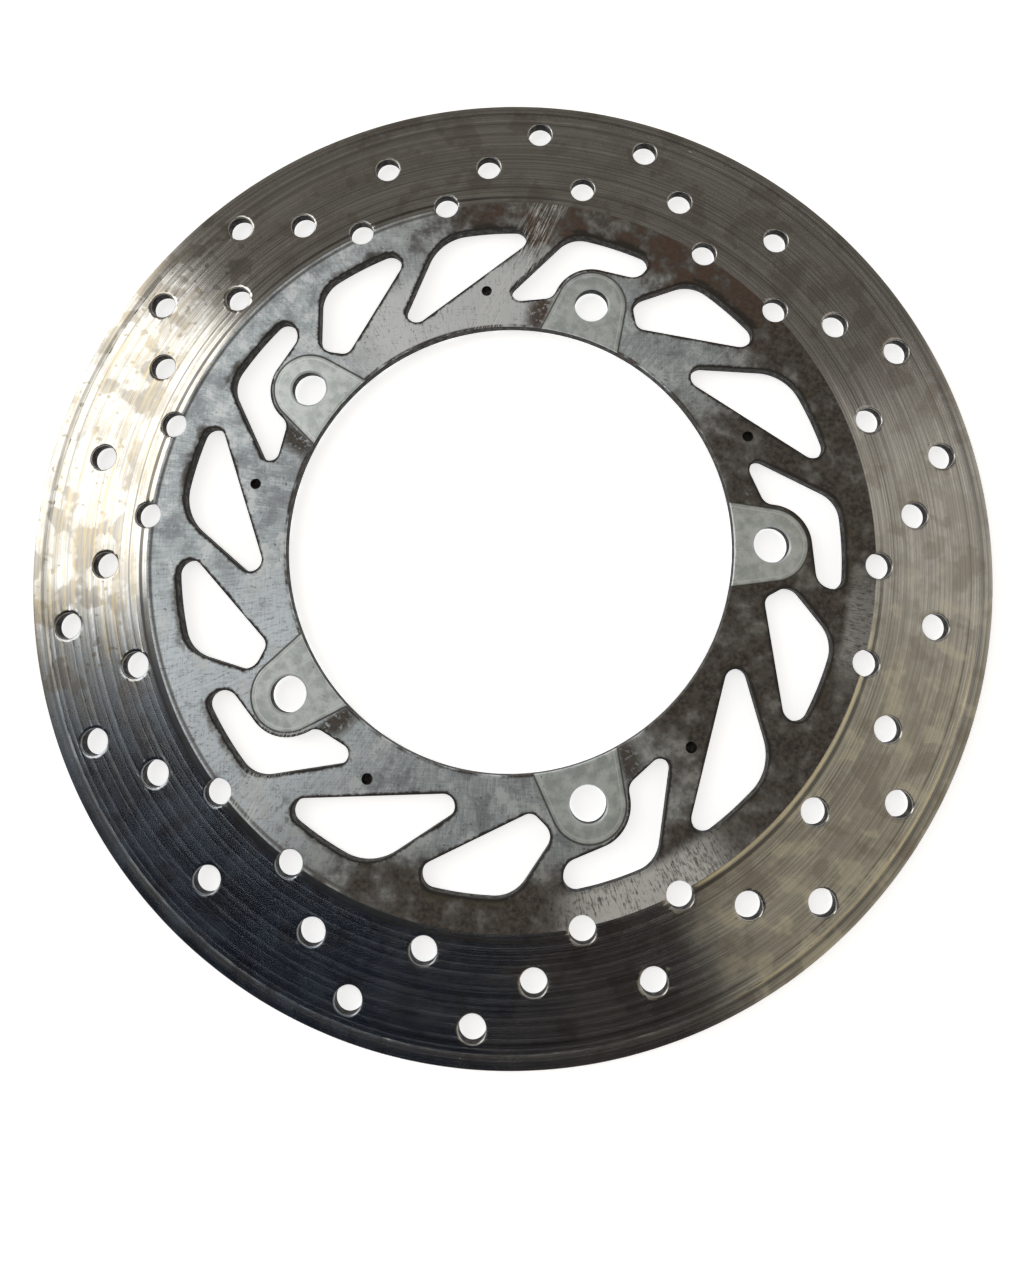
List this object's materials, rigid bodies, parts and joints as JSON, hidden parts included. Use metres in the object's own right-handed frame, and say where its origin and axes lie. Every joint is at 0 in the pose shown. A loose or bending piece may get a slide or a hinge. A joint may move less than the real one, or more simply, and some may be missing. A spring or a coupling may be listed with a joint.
{
  "type": "brake disc rotor",
  "caption": "Flat drilled steel brake disc with an open windowed centre and a ring of bolt holes round its bore, for the wheel hub of a light motorcycle.",
  "frame": {"origin": "centre of the bore, at mid thickness of the disc", "axes": "+Z along the disc axis, out of the face that meets the wheel hub; +Y through bolt hole 1"},
  "size_m": [0.245, 0.245, 0.004],
  "materials": {
    "swept_steel": "worn bright by the pads, fine rings round the axis, heat and grime stains",
    "carrier_steel": "satin rolled steel with brake dust, road grime, pits and scratches",
    "seat_steel": "clean pale steel where the wheel hub covered it"
  },
  "bodies": {
    "root": {"friction_band": "swept_steel", "carrier": "carrier_steel", "mounting_lug_1": "seat_steel", "mounting_lug_2": "seat_steel", "mounting_lug_3": "seat_steel", "mounting_lug_4": "seat_steel", "mounting_lug_5": "seat_steel"}
  },
  "joints": []
}
